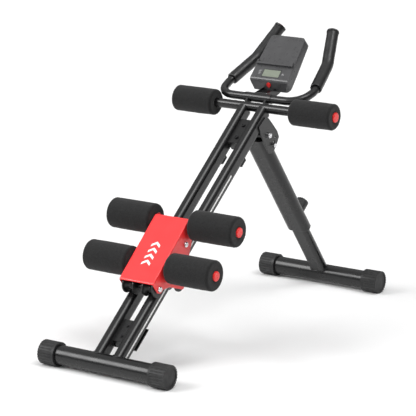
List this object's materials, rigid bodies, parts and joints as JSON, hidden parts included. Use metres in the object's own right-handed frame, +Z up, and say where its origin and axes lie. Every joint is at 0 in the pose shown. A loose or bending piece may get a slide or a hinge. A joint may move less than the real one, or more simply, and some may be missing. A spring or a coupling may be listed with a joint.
{
  "type": "ab crunch machine",
  "caption": "Sloped two-rail abdominal trainer with a roller carriage and knee pads, arm pads, handlebar, counter console and folding rear leg.",
  "frame": {"origin": "on the floor, midway between the front and rear feet, in the plane of symmetry", "axes": "+X across the machine to its right seen from the front foot, +Y from the front foot to the rear foot, +Z up"},
  "size_m": [0.575, 1.243, 0.8573],
  "materials": {
    "black_steel": "gloss black powder coat",
    "red_steel": "gloss red paint",
    "bolt_steel": "bright plated",
    "pad_foam": "matte black closed-cell foam",
    "grip_foam": "matte black closed-cell foam",
    "red_plastic": "gloss red",
    "black_plastic": "fine grained dark grey",
    "roller_plastic": "satin black nylon",
    "cap_rubber": "ribbed black",
    "bumper_rubber": "matte black",
    "lcd": "clear window over a grey-green display",
    "board": "green laminate",
    "cell": "dry cells",
    "magnet": "nickel plated",
    "white_strip": "printed adhesive strip"
  },
  "bodies": {
    "frame": {"front_foot_tube": "black_steel", "front_foot_cap_left": "cap_rubber", "front_foot_cap_right": "cap_rubber", "rail_left": "black_steel", "rail_right": "black_steel", "crossbar": "black_steel", "lower_bracket": "black_steel", "upper_bracket": "black_steel", "bracket_screws": "bolt_steel", "stop_bumpers": "bumper_rubber", "scale_strips": "white_strip", "count_sensor": "black_plastic", "sector_plate_left": "black_steel", "sector_plate_right": "black_steel", "pivot_bolt": "bolt_steel", "handlebar_sleeve": "black_steel", "handlebar_left": "black_steel", "handlebar_right": "black_steel", "grip_left": "grip_foam", "grip_right": "grip_foam", "grip_caps": "red_plastic", "console_bracket": "black_steel", "console_front": "black_plastic", "console_back": "black_plastic", "lcd_window": "lcd", "circuit_board": "board", "batteries": "cell", "arm_pad_caps": "red_plastic"},
    "arm_pad_left": {"arm_pad_left": "pad_foam"},
    "arm_pad_right": {"arm_pad_right": "pad_foam"},
    "lock_pin": {"lock_pin": "bolt_steel"},
    "console_button": {"console_button": "red_plastic"},
    "leg_upper": {"leg_outer_tube": "black_steel", "leg_yoke": "black_steel", "leg_guide_sleeve": "black_plastic", "height_knob_boss": "black_plastic"},
    "height_knob": {"height_knob": "black_plastic"},
    "leg_lower": {"leg_inner_tube": "black_steel", "rear_foot_tube": "black_steel", "rear_foot_cap_left": "cap_rubber", "rear_foot_cap_right": "cap_rubber"},
    "carriage": {"carriage_cover": "red_steel", "knee_tube_lower": "black_steel", "knee_tube_upper": "black_steel", "knee_pad_caps": "red_plastic", "axle_bolts": "bolt_steel", "axle_spacers": "bolt_steel", "count_magnet": "magnet"},
    "roller_front_left": {"roller_front_left": "roller_plastic"},
    "roller_front_right": {"roller_front_right": "roller_plastic"},
    "roller_rear_left": {"roller_rear_left": "roller_plastic"},
    "roller_rear_right": {"roller_rear_right": "roller_plastic"},
    "roller_under_left": {"roller_under_left": "roller_plastic"},
    "roller_under_right": {"roller_under_right": "roller_plastic"},
    "knee_pad_lower_left": {"knee_pad_lower_left": "pad_foam"},
    "knee_pad_lower_right": {"knee_pad_lower_right": "pad_foam"},
    "knee_pad_upper_left": {"knee_pad_upper_left": "pad_foam"},
    "knee_pad_upper_right": {"knee_pad_upper_right": "pad_foam"}
  },
  "joints": [
    {"name": "carriage_slide", "type": "slide", "parent": "frame", "child": "carriage", "axis": [0, 0.7859, 0.6184], "range_m": [-0.155, 0.425]},
    {"name": "roller_front_left_spin", "type": "hinge", "parent": "carriage", "child": "roller_front_left", "pos_m": [-0.034, -0.40989, 0.22244], "axis": [1, 0, 0], "range_deg": [-1880, 710]},
    {"name": "roller_front_right_spin", "type": "hinge", "parent": "carriage", "child": "roller_front_right", "pos_m": [0.034, -0.40989, 0.22244], "axis": [1, 0, 0], "range_deg": [-1880, 710]},
    {"name": "roller_rear_left_spin", "type": "hinge", "parent": "carriage", "child": "roller_rear_left", "pos_m": [-0.034, -0.27865, 0.32571], "axis": [1, 0, 0], "range_deg": [-1880, 710]},
    {"name": "roller_rear_right_spin", "type": "hinge", "parent": "carriage", "child": "roller_rear_right", "pos_m": [0.034, -0.27865, 0.32571], "axis": [1, 0, 0], "range_deg": [-1880, 710]},
    {"name": "roller_under_left_spin", "type": "hinge", "parent": "carriage", "child": "roller_under_left", "pos_m": [-0.034, -0.29767, 0.21404], "axis": [1, 0, 0], "range_deg": [-710, 1880]},
    {"name": "roller_under_right_spin", "type": "hinge", "parent": "carriage", "child": "roller_under_right", "pos_m": [0.034, -0.29767, 0.21404], "axis": [1, 0, 0], "range_deg": [-710, 1880]},
    {"name": "knee_pad_lower_left_turn", "type": "hinge", "parent": "carriage", "child": "knee_pad_lower_left", "pos_m": [-0.1435, -0.36111, 0.27444], "axis": [1, 0, 0], "continuous": true},
    {"name": "knee_pad_lower_right_turn", "type": "hinge", "parent": "carriage", "child": "knee_pad_lower_right", "pos_m": [0.1435, -0.36111, 0.27444], "axis": [1, 0, 0], "continuous": true},
    {"name": "knee_pad_upper_left_turn", "type": "hinge", "parent": "carriage", "child": "knee_pad_upper_left", "pos_m": [-0.1435, -0.24258, 0.37624], "axis": [1, 0, 0], "continuous": true},
    {"name": "knee_pad_upper_right_turn", "type": "hinge", "parent": "carriage", "child": "knee_pad_upper_right", "pos_m": [0.1435, -0.24258, 0.37624], "axis": [1, 0, 0], "continuous": true},
    {"name": "arm_pad_left_turn", "type": "hinge", "parent": "frame", "child": "arm_pad_left", "pos_m": [-0.2095, 0.18061, 0.64602], "axis": [1, 0, 0], "continuous": true},
    {"name": "arm_pad_right_turn", "type": "hinge", "parent": "frame", "child": "arm_pad_right", "pos_m": [0.2095, 0.18061, 0.64602], "axis": [1, 0, 0], "continuous": true},
    {"name": "leg_fold", "type": "hinge", "parent": "frame", "child": "leg_upper", "pos_m": [0, 0.17549, 0.56602], "axis": [1, 0, 0], "range_deg": [-75, 0]},
    {"name": "leg_extend", "type": "slide", "parent": "leg_upper", "child": "leg_lower", "axis": [0, 0.612, -0.7909], "range_m": [-0.15, 0.05]},
    {"name": "height_knob_pull", "type": "slide", "parent": "leg_upper", "child": "height_knob", "axis": [0, 0.7909, 0.612], "range_m": [0, 0.012], "stiffness_N_per_m": 1500},
    {"name": "lock_pin_pull", "type": "slide", "parent": "frame", "child": "lock_pin", "axis": [1, 0, 0], "range_m": [0, 0.012], "stiffness_N_per_m": 1500},
    {"name": "console_button_press", "type": "slide", "parent": "frame", "child": "console_button", "axis": [0, 0.9417, 0.3363], "range_m": [0, 0.0015], "stiffness_N_per_m": 600}
  ],
  "couplings": [
    {"joint": "roller_front_left_spin", "follows": "carriage_slide", "rad_per_m": -76.923},
    {"joint": "roller_front_right_spin", "follows": "carriage_slide", "rad_per_m": -76.923},
    {"joint": "roller_rear_left_spin", "follows": "carriage_slide", "rad_per_m": -76.923},
    {"joint": "roller_rear_right_spin", "follows": "carriage_slide", "rad_per_m": -76.923},
    {"joint": "roller_under_left_spin", "follows": "carriage_slide", "rad_per_m": 76.923},
    {"joint": "roller_under_right_spin", "follows": "carriage_slide", "rad_per_m": 76.923}
  ]
}
